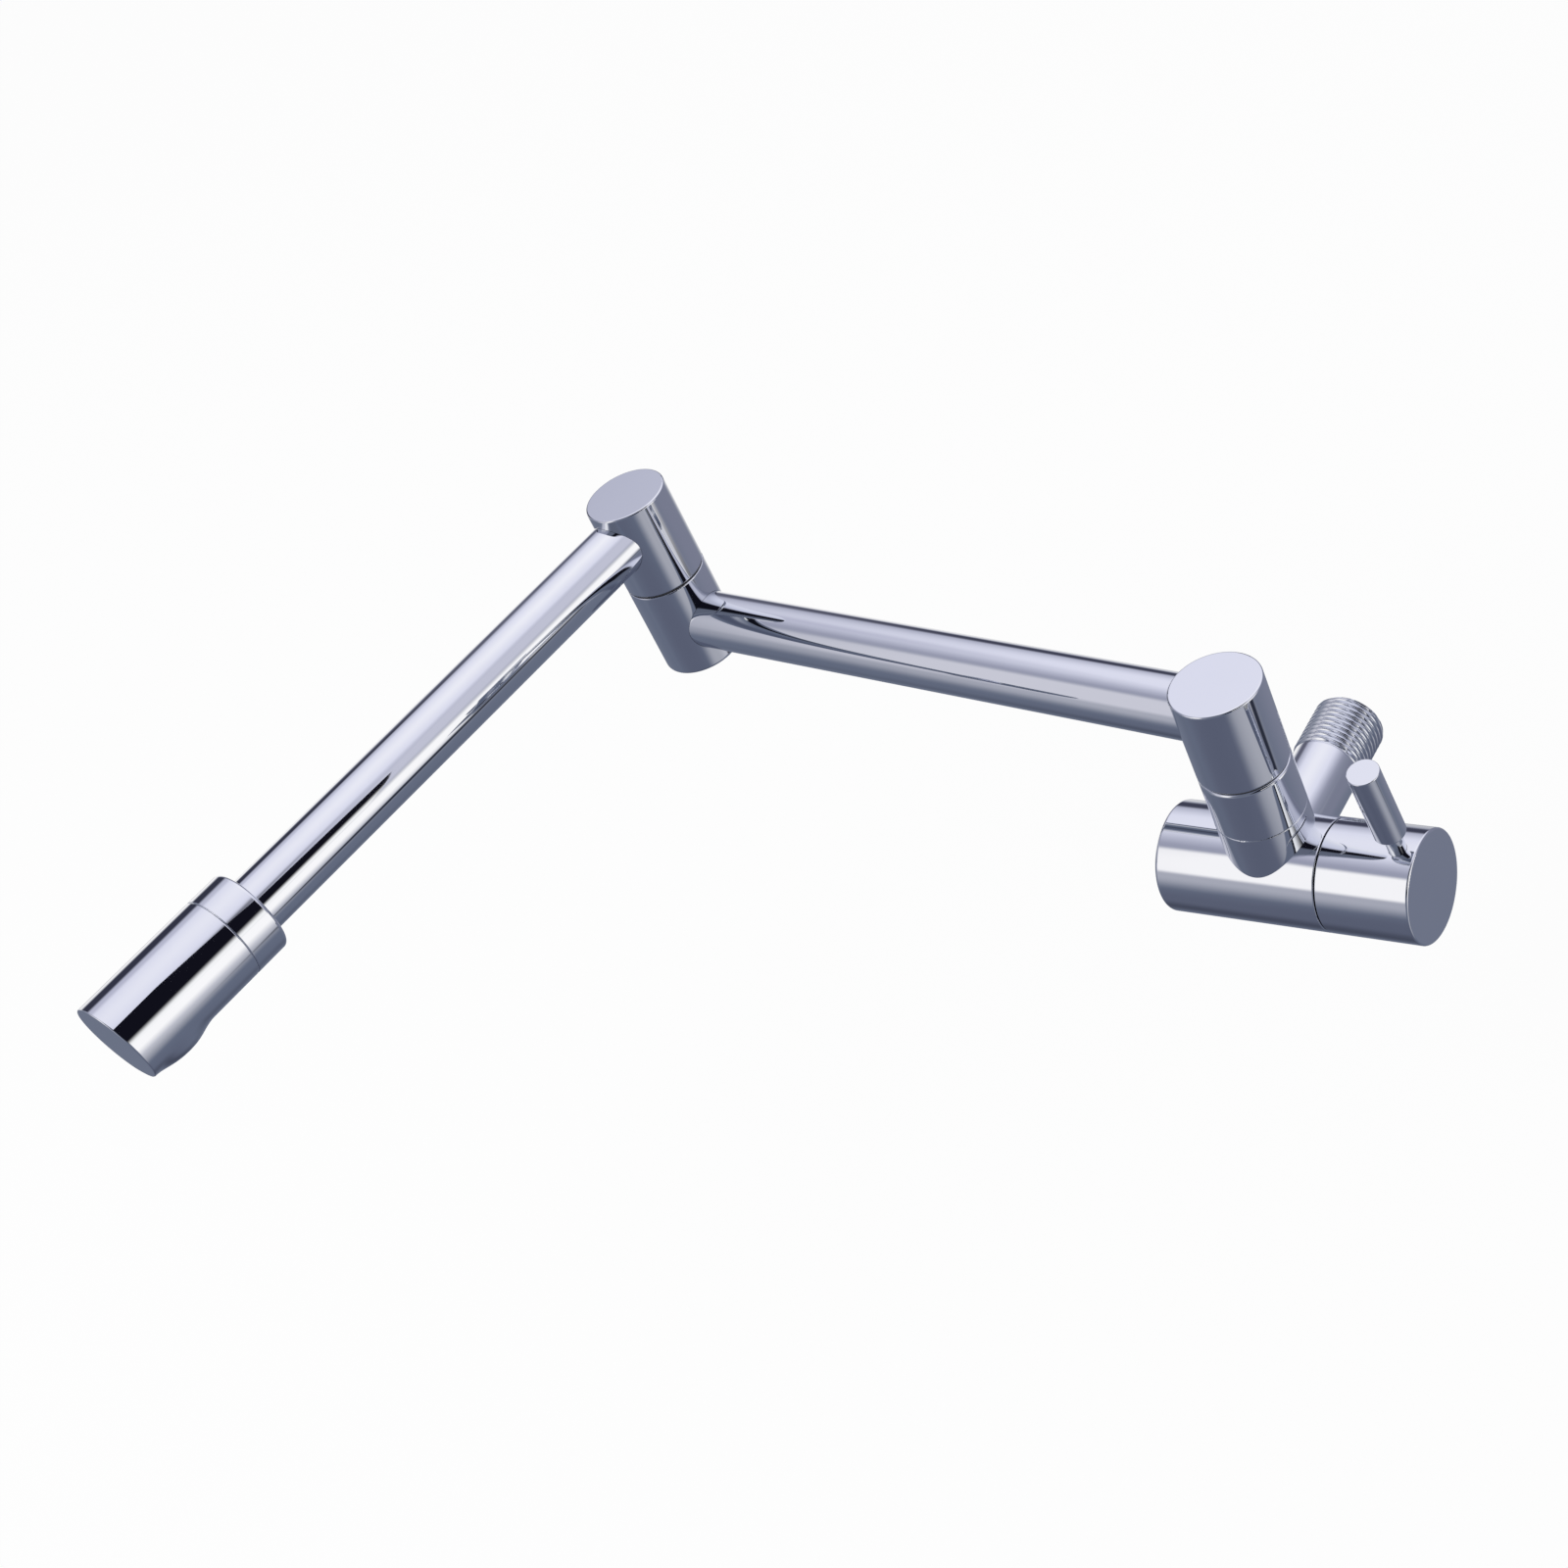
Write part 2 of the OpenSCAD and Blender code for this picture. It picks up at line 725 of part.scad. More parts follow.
module spout_head() {
    cut = 2 * head_d;
    color(chrome) on_upper_arm() translate([0, 0, arm_2_z]) difference() {
        union() {
            rotate([0, 90, 0]) turned(head_r, collar_end, head_end + 2, split_edge, 0);
            outlet_boss();
        }
        translate([head_end, 0, 0]) rotate([0, end_rake, 0])
            translate([0, -cut / 2, -cut / 2]) cube(cut);
        rotate([0, 90, 0]) {
            rod(nipple_d / 2, collar_end - over, collar_end + nipple_len + head_washer_t);
            rod(tube_bore / 2, collar_end, chamber_end);
            rod(way_r, collar_end, outlet_x + way_r / 2);
        }
        translate([outlet_x, 0, -seat_drop]) {
            rod(outlet_d / 2 + thread_fit, -aerator_sink - over, aerator_len + aerator_washer_t);
            rod(way_r, 0, seat_drop, small_fn);
        }
    }
}

module aerator_washer() {
    color(rubber) at_outlet()
        ring(outlet_d / 2 - 0.2, way_r + 0.2, aerator_len, aerator_len + aerator_washer_t);
}

module aerator_shell() {
    color(chrome) at_outlet() difference() {
        rod(outlet_d / 2, 0, aerator_len);
        rod(outlet_d / 2 - shell_wall, shell_lip, aerator_len + over);
        rod(outlet_d / 2 - shell_lip_w, -over, shell_lip + over);
        for (a = [0 : 90 : 270])
            rotate([0, 0, a]) translate([outlet_d / 2 - shell_lip_w - over, -key_w / 2, -over])
                cube([shell_lip_w * 2, key_w, shell_lip * 0.6 + over]);
    }
}

module aerator_insert() {
    reach = outlet_d / 2 - shell_lip_w - cell_w / 2;
    color(nylon) at_outlet() difference() {
        rod(outlet_d / 2 - shell_wall - slot_room, shell_lip, shell_lip + insert_len);
        for (i = [-cell_rings : cell_rings], j = [-cell_rings : cell_rings])
            let (x = cell_pitch * (i + j / 2), y = cell_pitch * j * sin(60))
                if (norm([x, y]) < reach)
                    translate([x, y, shell_lip - over]) rotate([0, 0, 30])
                        cylinder(r = cell_w / cos(30) / 2, h = insert_len + 2 * over, $fn = 6);
    }
}

valve_body();
inlet_tail();
seat_seal();
cartridge_housing();
cartridge_o_ring();
fixed_disc();
gland_nut();
riser();
riser_washer();
base_o_rings();
base_slip_ring();
moving_disc();
spindle();
spindle_o_ring();
spindle_clip();
knob();
knob_screw();
lever();
base_hub();
base_screw();
arm_1_tube();
elbow_lower_hub();
elbow_spigot();
elbow_washer();
elbow_o_rings();
elbow_slip_ring();
elbow_upper_hub();
elbow_screw();
arm_2_tube();
head_collar();
head_washer();
spout_head();
aerator_washer();
aerator_shell();
aerator_insert();
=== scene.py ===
"""Looks of a folding wall tap: chrome finishes, threaded inlet, spout head, stage and camera, in metres."""

import json
import math
from contextlib import contextmanager

import bmesh
import bpy
import numpy as np
from bpy.props import FloatProperty, FloatVectorProperty, PointerProperty
from mathutils import Matrix, Vector


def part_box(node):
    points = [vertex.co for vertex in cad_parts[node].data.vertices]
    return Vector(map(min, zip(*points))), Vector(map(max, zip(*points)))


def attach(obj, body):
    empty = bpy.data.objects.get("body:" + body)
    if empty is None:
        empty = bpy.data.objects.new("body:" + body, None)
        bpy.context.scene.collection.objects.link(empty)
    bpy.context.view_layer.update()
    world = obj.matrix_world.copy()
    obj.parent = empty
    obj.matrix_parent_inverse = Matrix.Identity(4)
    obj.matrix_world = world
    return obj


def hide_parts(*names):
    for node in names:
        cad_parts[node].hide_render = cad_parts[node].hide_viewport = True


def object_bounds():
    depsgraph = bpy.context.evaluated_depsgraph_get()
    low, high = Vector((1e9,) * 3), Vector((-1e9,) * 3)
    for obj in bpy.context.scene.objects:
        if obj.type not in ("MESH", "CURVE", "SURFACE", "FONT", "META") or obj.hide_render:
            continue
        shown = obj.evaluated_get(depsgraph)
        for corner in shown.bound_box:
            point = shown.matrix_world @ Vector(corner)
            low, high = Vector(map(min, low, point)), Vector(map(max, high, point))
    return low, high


bl_info = {
    "name": "Folding wall tap",
    "version": (1, 0, 0),
    "blender": (4, 5, 0),
    "location": "3D View > Sidebar > Tap",
    "description": "Dresses the folding wall tap in its finishes and sets its studio",
    "category": "Object",
}

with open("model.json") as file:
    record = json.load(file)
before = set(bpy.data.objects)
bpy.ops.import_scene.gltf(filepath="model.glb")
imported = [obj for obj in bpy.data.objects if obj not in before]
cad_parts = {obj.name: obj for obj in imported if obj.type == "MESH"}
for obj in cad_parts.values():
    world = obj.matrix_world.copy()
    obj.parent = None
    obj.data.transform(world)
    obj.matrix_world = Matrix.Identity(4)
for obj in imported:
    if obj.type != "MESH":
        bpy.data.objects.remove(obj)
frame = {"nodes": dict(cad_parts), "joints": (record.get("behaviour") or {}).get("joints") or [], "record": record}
CAD_LOW, CAD_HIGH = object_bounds()
JOINTS = {joint["name"]: Vector(joint["pos_m"]) for joint in frame["joints"]}
SLOT_OF = {row["node"]: row["material_slot"] for row in frame["record"]["subparts"]}
MM = 0.001
FULL_TURN = 2 * math.pi

# The camera's place and axes, as fitted to the photograph
CAMERA_PLACE = Vector((0.32349, -0.48102, 0.48639))
CAMERA_RIGHT = Vector((0.78588, 0.49322, -0.37301))
CAMERA_UP = Vector((-0.09691, 0.69397, 0.71345))
CAMERA_BACK = Vector((0.61074, -0.52454, 0.59317))


# Measures read from the frame

def reach(node, origin, direction):
    """Least and greatest distance of a node's vertices from origin along direction."""
    along = [(vertex.co - origin).dot(direction) for vertex in frame["nodes"][node].data.vertices]
    return min(along), max(along)


def upper_arm_axes():
    """Origin on the second swivel's axis at the tube's height, direction of the arm, and its side."""
    low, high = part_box("arm_2_tube")
    origin = Vector((JOINTS["elbow_swivel"].x, JOINTS["elbow_swivel"].y, (low.z + high.z) / 2))
    shell_low, shell_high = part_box("aerator_shell")
    direction = (shell_low + shell_high) / 2 - origin
    direction.z = 0
    direction.normalize()
    return origin, direction, Vector((0, 0, 1)).cross(direction)


def inlet_radius_near(y):
    """Radius of the frame's inlet tube within half a millimetre of a place along it."""
    near = [v.co for v in frame["nodes"]["inlet_tail"].data.vertices if abs(v.co.y - y) < 0.5 * MM]
    return max(math.hypot(co.x, co.z) for co in near)


# Sizes and colours that a user would change

class TapFinishSettings(bpy.types.PropertyGroup):
    """Colours of the finishes, and how smooth the chrome is"""
    chrome: FloatVectorProperty(name="Chrome", description="Colour of the chrome plate", subtype="COLOR",
                                size=3, min=0, max=1, default=(0.80, 0.82, 0.86))
    brass: FloatVectorProperty(name="Brass", description="Colour of the machined brass", subtype="COLOR",
                               size=3, min=0, max=1, default=(0.80, 0.66, 0.36))
    ceramic: FloatVectorProperty(name="Ceramic", description="Colour of the lapped discs", subtype="COLOR",
                                 size=3, min=0, max=1, default=(0.93, 0.92, 0.88))
    rubber: FloatVectorProperty(name="Rubber", description="Colour of washers and O-rings", subtype="COLOR",
                                size=3, min=0, max=1, default=(0.03, 0.03, 0.035))
    acetal: FloatVectorProperty(name="Acetal", description="Colour of the aerator insert",
                                subtype="COLOR", size=3, min=0, max=1, default=(0.78, 0.78, 0.76))
    # The slip rings' dark tone is painted shade: it stands for the shade in the narrow groove at each swivel.
    slip_ring: FloatVectorProperty(name="Slip ring", description="Colour of the dark rings at the swivels",
                                   subtype="COLOR", size=3, min=0, max=1, default=(0.05, 0.05, 0.055))
    steel: FloatVectorProperty(name="Steel", description="Colour of screws and clip", subtype="COLOR",
                               size=3, min=0, max=1, default=(0.62, 0.63, 0.65))
    chrome_roughness: FloatProperty(name="Chrome roughness", description="Roughness of clean plate",
                                    subtype="FACTOR", min=0, max=1, default=0.02)
    plate_ripple: FloatProperty(name="Plate ripple", description="Height of the plate's waves",
                                subtype="DISTANCE", unit="LENGTH", min=0, default=0.0000015)


class TapFormSettings(bpy.types.PropertyGroup):
    """Measures of the threaded inlet and of the spout head"""
    thread_pitch: FloatProperty(name="Thread pitch", description="Pitch of the inlet's pipe thread",
                                subtype="DISTANCE", unit="LENGTH", min=0.001, default=0.001814)
    thread_depth: FloatProperty(name="Thread depth", description="Crest to root of the inlet's thread",
                                subtype="DISTANCE", unit="LENGTH", min=0.0002, default=0.00105)
    thread_length: FloatProperty(name="Thread length", description="Threaded stretch of the inlet",
                                 subtype="DISTANCE", unit="LENGTH", min=0.002, default=0.019)
    inlet_bore: FloatProperty(name="Inlet bore", description="Bore of the inlet tube",
                              subtype="DISTANCE", unit="LENGTH", min=0.004, default=0.014)
    head_radius: FloatProperty(name="Head radius", description="Radius of the spout head",
                               subtype="DISTANCE", unit="LENGTH", min=0.01, default=0.0137)
    end_rake: FloatProperty(name="End rake", description="Lean of the head's end face",
                            subtype="ANGLE", unit="ROTATION", default=math.radians(4))
    boss_radius: FloatProperty(name="Boss radius", description="Radius of the swelling round the outlet",
                               subtype="DISTANCE", unit="LENGTH", min=0.009, default=0.0101)
    boss_drop: FloatProperty(name="Boss drop", description="Depth of the outlet's rim under the arm's axis",
                             subtype="DISTANCE", unit="LENGTH", min=0.01, default=0.0139)
    boss_height: FloatProperty(name="Boss height", description="Height of the swelling, up into the head",
                               subtype="DISTANCE", unit="LENGTH", min=0.008, default=0.012)
    boss_round: FloatProperty(name="Boss rounding", description="Rounding of the swelling's lower rim",
                              subtype="DISTANCE", unit="LENGTH", min=0.0005, default=0.005)
    boss_blend: FloatProperty(name="Boss blend", description="How softly the swelling grows out of the head",
                              subtype="DISTANCE", unit="LENGTH", min=0.0005, default=0.004)
    rim: FloatProperty(name="Rim", description="Rounding of the head's bright edges",
                       subtype="DISTANCE", unit="LENGTH", min=0.0001, default=0.0004)


class TapStageSettings(bpy.types.PropertyGroup):
    """Lens, floor, and the tent whose glow paints reflections in the chrome"""
    lens: FloatProperty(name="Lens", description="Focal length of the camera in millimetres",
                        min=10, default=58.42)
    floor_drop: FloatProperty(name="Floor drop", description="How far the floor lies under the tap",
                              subtype="DISTANCE", unit="LENGTH", min=0, default=0.10)
    floor_lift: FloatProperty(name="Floor lift", description="Share of plain white in the floor",
                              subtype="FACTOR", min=0, max=1, default=0.93)
    tent_radius: FloatProperty(name="Tent radius", description="Radius of the light tent round the tap",
                               subtype="DISTANCE", unit="LENGTH", min=1, default=4)


# Meshes

def new_object(name, data):
    """A new object of the scene with its data."""
    made = bpy.data.objects.new(name, data)
    bpy.context.scene.collection.objects.link(made)
    return made


def mesh_object(name, points, faces):
    """A new object of the scene from its points and faces."""
    mesh = bpy.data.meshes.new(name)
    mesh.from_pydata(points, [], faces)
    return new_object(name, mesh)


@contextmanager
def opened(mesh):
    """A mesh opened for editing, which is written back afterwards."""
    work = bmesh.new()
    work.from_mesh(mesh)
    yield work
    work.to_mesh(mesh)
    work.free()


def face_outwards(mesh):
    """Turns every face of a closed mesh to look out."""
    with opened(mesh) as work:
        bmesh.ops.recalc_face_normals(work, faces=work.faces)


def even_triangles(mesh):
    """Cuts a mesh into its best triangles, as the exporter's own cuts left gaps at the drilled rim."""
    with opened(mesh) as work:
        bmesh.ops.triangulate(work, faces=work.faces, quad_method="BEAUTY", ngon_method="BEAUTY")


def smooth(mesh, angle):
    """Smooth shading that stays crisp where two faces meet at more than angle degrees."""
    limit = math.radians(angle)
    with opened(mesh) as work:
        for edge in work.edges:
            edge.smooth = len(edge.link_faces) == 2 and edge.calc_face_angle(0) < limit
        for face in work.faces:
            face.smooth = True


def circle(radius, around):
    """Pairs of coordinates round a circle."""
    angles = [FULL_TURN * k / around for k in range(around)]
    return [(radius * math.cos(angle), radius * math.sin(angle)) for angle in angles]


def skin(name, rings, wrap=False):
    """Closed mesh through rings of equally many points, capped at both ends or joined end to end."""
    count = len(rings[0])
    points = [tuple(point) for ring in rings for point in ring]
    faces = []
    spans = len(rings) if wrap else len(rings) - 1
    for i in range(spans):
        here = i * count
        there = (i + 1) % len(rings) * count
        for k in range(count):
            after = (k + 1) % count
            faces.append((here + k, here + after, there + after, there + k))
    if not wrap:
        faces.append(tuple(range(count))[::-1])
        faces.append(tuple((len(rings) - 1) * count + k for k in range(count)))
    piece = mesh_object(name, points, faces)
    piece.data.validate()
    face_outwards(piece.data)
    return piece


def finish(slot):
    """The finish made for a slot, under a name that the frame's own plain materials don't have."""
    return bpy.data.materials[slot + " finish"]


def dress(piece, slot, body, *nodes):
    """Gives a new piece its finish, its body and the nodes that it stands for."""
    piece.data.materials.clear()
    piece.data.materials.append(finish(slot))
    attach(piece, body)
    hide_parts(*nodes)


# Node helpers

FLOAT = "NodeSocketFloat"
COLOUR = "NodeSocketColor"


def add(tree, kind, inputs=None, **settings):
    """A node with its settings and its inputs, each a value or the socket that feeds it."""
    made = tree.nodes.new(kind)
    for key, value in settings.items():
        setattr(made, key, value)
    for key, value in (inputs or {}).items():
        if isinstance(value, bpy.types.NodeSocket):
            tree.links.new(value, made.inputs[key])
        else:
            made.inputs[key].default_value = value
    return made


def maths(tree, operation, first, second=0.0, third=0.0):
    """Output of one Math node."""
    return add(tree, "ShaderNodeMath", {0: first, 1: second, 2: third}, operation=operation).outputs[0]


def node_of(tree, kind):
    """The first node of a kind in a tree."""
    return next(node for node in tree.nodes if node.type == kind)


def new_group(name, inputs, outputs):
    """A new shader node group, with the sockets that come into it and those that lead out of it."""
    tree = bpy.data.node_groups.new(name, "ShaderNodeTree")
    for direction, sockets in (("INPUT", inputs), ("OUTPUT", outputs)):
        for label, kind, value in sockets:
            socket = tree.interface.new_socket(label, in_out=direction, socket_type=kind)
            if value is not None:
                socket.default_value = value
    return tree, tree.nodes.new("NodeGroupInput").outputs, tree.nodes.new("NodeGroupOutput").inputs


def group_node(tree, group, inputs=None):
    """A group placed in a material with its own values."""
    return add(tree, "ShaderNodeGroup", inputs, node_tree=bpy.data.node_groups[group])


# Finishes

SPECK_SHARE = 0.08

# Metallic, least and most roughness, scale of smudges and of specks, tone shift, bump, tool marks in it
FINISHES = {
    "brass": (1.0, 0.22, 0.42, 90.0, 1600.0, 0.25, 0.02 * MM, 0.4),
    "ceramic": (0.0, 0.12, 0.24, 80.0, 2500.0, 0.04, 0.008 * MM, 0.0),
    "rubber": (0.0, 0.5, 0.75, 200.0, 3000.0, 0.5, 0.03 * MM, 0.0),
    "acetal": (0.0, 0.3, 0.5, 150.0, 2200.0, 0.06, 0.02 * MM, 0.3),
    # Slip rings: dark tone painted as the shade of the groove at the swivels
    "slip_ring": (0.0, 0.3, 0.5, 150.0, 2200.0, 0.2, 0.02 * MM, 0.3),
    "steel": (1.0, 0.2, 0.38, 150.0, 2600.0, 0.12, 0.02 * MM, 0.5),
}


def build_wear_group():
    """Handling marks: faint smudges and fine specks that vary roughness and colour."""
    tree, given, result = new_group(
        "handling marks",
        [("Smudge scale", FLOAT, 60.0), ("Speck scale", FLOAT, 900.0),
         ("Low", FLOAT, 0.03), ("High", FLOAT, 0.08), ("Tone", COLOUR, (0.8, 0.8, 0.8, 1)),
         ("Tone shift", FLOAT, 0.03)],
        [("Roughness", FLOAT, None), ("Tone", COLOUR, None), ("Height", FLOAT, None)])
    place = add(tree, "ShaderNodeTexCoord").outputs["Object"]
    smudge = add(tree, "ShaderNodeTexNoise", {"Vector": place, "Scale": given["Smudge scale"],
                                              "Detail": 5.0, "Roughness": 0.6}).outputs["Fac"]
    speck = add(tree, "ShaderNodeTexNoise", {"Vector": place, "Scale": given["Speck scale"],
                                             "Detail": 2.0, "Roughness": 0.5}).outputs["Fac"]
    mixed = maths(tree, "MULTIPLY_ADD", speck, SPECK_SHARE,
                  maths(tree, "MULTIPLY", smudge, 1 - SPECK_SHARE))
    wide = add(tree, "ShaderNodeMapRange", {"Value": mixed, "From Min": 0.38, "From Max": 0.66,
                                            "To Min": given["Low"], "To Max": given["High"]}).outputs[0]
    shift = maths(tree, "MULTIPLY", maths(tree, "SUBTRACT", smudge, 0.5), given["Tone shift"])
    tone = add(tree, "ShaderNodeHueSaturation", {"Value": maths(tree, "ADD", shift, 1.0),
                                                 "Color": given["Tone"]}).outputs[0]
    for label, source in (("Roughness", wide), ("Tone", tone), ("Height", mixed)):
        tree.links.new(source, result[label])


def build_turning_group():
    """Fine tool marks along one axis, as a lathe leaves on a turned piece."""
    tree, given, result = new_group(
        "turning marks", [("Scale", FLOAT, 900.0), ("Waver", FLOAT, 1.5)], [("Height", FLOAT, None)])
    place = add(tree, "ShaderNodeTexCoord").outputs["Object"]
    wave = add(tree, "ShaderNodeTexWave", {"Vector": place, "Scale": given["Scale"],
                                           "Distortion": given["Waver"], "Detail": 2.0},
               wave_type="RINGS").outputs["Fac"]
    tree.links.new(wave, result["Height"])


def finish_material(slot, colour, metallic, low, high, smudge, speck, shift, bump, tool):
    """A material for one slot: marks vary roughness and colour, and a fine bump breaks the surface."""
    material = bpy.data.materials.new(slot + " finish")
    material.use_nodes = True
    tree = material.node_tree
    shader = node_of(tree, "BSDF_PRINCIPLED")
    marks = group_node(tree, "handling marks", {
        "Smudge scale": smudge, "Speck scale": speck, "Low": low, "High": high,
        "Tone": (*colour, 1), "Tone shift": shift}).outputs
    height = marks["Height"]
    if tool:
        lathe = group_node(tree, "turning marks").outputs["Height"]
        height = maths(tree, "MULTIPLY_ADD", lathe, tool, height)
    raised = add(tree, "ShaderNodeBump", {"Height": height, "Distance": bump, "Strength": 1.0}).outputs[0]
    tree.links.new(marks["Tone"], shader.inputs["Base Color"])
    tree.links.new(marks["Roughness"], shader.inputs["Roughness"])
    tree.links.new(raised, shader.inputs["Normal"])
    shader.inputs["Metallic"].default_value = metallic
    material.diffuse_color = (*colour, 1)


class TAP_OT_finishes(bpy.types.Operator):
    """Make the seven finishes and put them on the pieces of the frame"""
    bl_idname = "tap.finishes"
    bl_label = "Finishes"

    def execute(self, context):
        look = context.scene.tap_finish
        build_wear_group()
        build_turning_group()
        rough = look.chrome_roughness
        chrome = (1.0, rough, rough * 2, 55.0, 1400.0, 0.03, look.plate_ripple, 0.0)
        for slot, row in {"chrome": chrome, **FINISHES}.items():
            finish_material(slot, getattr(look, slot), *row)
        for name, piece in frame["nodes"].items():
            # Slip rings take the dark finish, which is painted shade for their groove
            material = finish("slip_ring" if name.endswith("slip_ring") else SLOT_OF[name])
            for holder in piece.material_slots:
                holder.material = material
        return {"FINISHED"}


# Threaded inlet

THREAD_AROUND = 96
THREAD_STEPS = 14
THREAD_ROUNDING = 0.85
THREAD_RUN_OUT = 1.0 * MM
CHAMFER_LENGTH = 1.1 * MM
CHAMFER_STEP = 0.15 * MM
BORE_EDGE = 0.4 * MM
INLET_CRISP_ANGLE = 50


def thread_radius(crest, root, run, pitch, turn):
    """Radius of a round-crested thread, run along the axis and turn (0 to 1) round it."""
    phase = (run / pitch - turn) % 1.0
    hollow = (0.5 + 0.5 * math.cos(FULL_TURN * phase)) ** THREAD_ROUNDING
    return root + (crest - root) * (1 - hollow)


def inlet_ring(y, radii):
    """Points round the inlet's axis at one place along it, one for each radius."""
    points = []
    for k, radius in enumerate(radii):
        angle = FULL_TURN * (k / len(radii))
        points.append((radius * math.cos(angle), y, radius * math.sin(angle)))
    return points


class TAP_OT_threaded_inlet(bpy.types.Operator):
    """Make the inlet tube with its pipe thread as a true helix"""
    bl_idname = "tap.threaded_inlet"
    bl_label = "Threaded inlet"

    def execute(self, context):
        form = context.scene.tap_form
        low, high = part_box("inlet_tail")
        crest = (high.x - low.x) / 2
        root = crest - form.thread_depth
        shank = inlet_radius_near(low.y)
        bore = form.inlet_bore / 2
        start = high.y - form.thread_length
        end = high.y
        plain = [(low.y, shank), ((low.y + start) / 2, shank), (start - THREAD_RUN_OUT / 2, shank)]
        inside = [(end, bore + BORE_EDGE), (end - BORE_EDGE, bore), (low.y, bore)]
        rings = [inlet_ring(y, [radius] * THREAD_AROUND) for y, radius in plain]
        count = int(form.thread_length / form.thread_pitch * THREAD_STEPS)
        for i in range(count + 1):
            y = start + (end - start) * i / count
            share = min(1.0, (y - start) / THREAD_RUN_OUT)
            cap = root + CHAMFER_STEP + (end - y) * (crest - root) / CHAMFER_LENGTH
            radii = []
            for k in range(THREAD_AROUND):
                ridge = thread_radius(crest, root, y - start, form.thread_pitch, k / THREAD_AROUND)
                radii.append(min(cap, shank + share * (ridge - shank)))
            rings.append(inlet_ring(y, radii))
        rings += [inlet_ring(y, [radius] * THREAD_AROUND) for y, radius in inside]
        piece = skin("inlet_tail_threaded", rings, wrap=True)
        smooth(piece.data, INLET_CRISP_ANGLE)
        dress(piece, "chrome", "valve", "inlet_tail")
        return {"FINISHED"}


# Spout head

HEAD_AROUND = 144
HEAD_ALONG = 110
HEAD_RIM_STEPS = 5
HEAD_END_SHARES = (0.9, 0.6, 0.3, 0.05)
HEAD_CRISP_ANGLE = 32
OUTLET_AROUND = 96
OUTLET_ROOM = 0.05 * MM
OUTLET_RIM_BLEND = 1.5 * MM
NIPPLE_RADIUS = 10.55 * MM
NIPPLE_DEPTH = 9.3 * MM

# Search for the head's surface: shares of its radius to start between, halvings, repeats at its end
SEARCH_SHARES = (0.6, 1.6)
SEARCH_HALVINGS = 26
END_REPEATS = 8

# Normals of the head: step over which the slope is taken, and what still counts as on the surface
SLOPE_STEP = 0.02 * MM
ON_SURFACE = 0.12 * MM


def blended(first, second, width):
    """The lesser of two distances, with the crease between them rounded over a width."""
    near = np.maximum(width - np.abs(first - second), 0) / width
    return np.minimum(first, second) - near * near * width / 4


def head_distance(x, y, z, form, outlet):
    """Signed distance to the head: a round bar blended with the upright swelling of the outlet."""
    bar = np.hypot(y, z) - form.head_radius
    wide = np.hypot(x - outlet, y) - (form.boss_radius - form.boss_round)
    deep = np.abs(z + form.boss_drop - form.boss_height / 2) - (form.boss_height / 2 - form.boss_round)
    outside = np.hypot(np.maximum(wide, 0), np.maximum(deep, 0))
    boss = outside + np.minimum(np.maximum(wide, deep), 0) - form.boss_round
    joined = blended(bar, boss, form.boss_blend)
    # A cut takes the greater of two distances, which is the lesser one with the signs turned
    return -blended(-joined, z + form.boss_drop, OUTLET_RIM_BLEND)


def head_slope(x, y, z, form, outlet):
    """Unit normals of the head's surface."""
    rises = []
    for along, across, up in SLOPE_STEP * np.eye(3):
        rises.append(head_distance(x + along, y + across, z + up, form, outlet)
                     - head_distance(x - along, y - across, z - up, form, outlet))
    slope = np.stack(rises, -1)
    return slope / np.linalg.norm(slope, axis=-1, keepdims=True)


def head_radius_at(x, turns, form, outlet):
    """Distance from the arm's axis to the head's surface, found by halving."""
    inner, outer = (np.full(turns.shape, form.head_radius * share) for share in SEARCH_SHARES)
    for _ in range(SEARCH_HALVINGS):
        middle = (inner + outer) / 2
        inside = head_distance(x, middle * np.sin(turns), middle * np.cos(turns), form, outlet) < 0
        inner = np.where(inside, middle, inner)
        outer = np.where(inside, outer, middle)
    return (inner + outer) / 2


def rim_step(step, rim):
    """How far one step of a rounded rim lies back from the end face, and in from the side."""
    angle = math.pi / 2 * step / HEAD_RIM_STEPS
    return rim * (1 - math.sin(angle)), rim * (1 - math.cos(angle))


def head_rings(form, start, end, outlet):
    """Rings of the head's solid, from the bore at its back over the outside to its end face's middle."""
    turns = np.arange(HEAD_AROUND) * FULL_TURN / HEAD_AROUND
    lean = math.tan(form.end_rake)

    def ring(x, radius):
        """Points round the arm's axis, each with its own or one shared place and radius."""
        places = np.broadcast_to(x, turns.shape)
        return np.stack([places, radius * np.sin(turns), radius * np.cos(turns)], -1)

    rings = [ring(start + NIPPLE_DEPTH, NIPPLE_RADIUS), ring(start, NIPPLE_RADIUS)]
    edge = head_radius_at(start, turns, form, outlet)
    for step in reversed(range(HEAD_RIM_STEPS)):
        back, drop = rim_step(step, form.rim)
        rings.append(ring(start + back, edge - drop))
    # The end face leans, so its place and the edge's radius depend on each other
    edge = np.full(HEAD_AROUND, form.head_radius)
    for _ in range(END_REPEATS):
        face = end + edge * np.cos(turns) * lean
        edge = head_radius_at(face, turns, form, outlet)
    for i in range(1, HEAD_ALONG):
        x = start + form.rim + i / HEAD_ALONG * (face - 2 * form.rim - start)
        rings.append(ring(x, head_radius_at(x, turns, form, outlet)))
    for step in range(HEAD_RIM_STEPS + 1):
        back, drop = rim_step(step, form.rim)
        rings.append(ring(face - back, edge - drop))
    for share in HEAD_END_SHARES:
        radius = (edge - form.rim) * share
        rings.append(ring(end + radius * np.cos(turns) * lean, radius))
    return rings


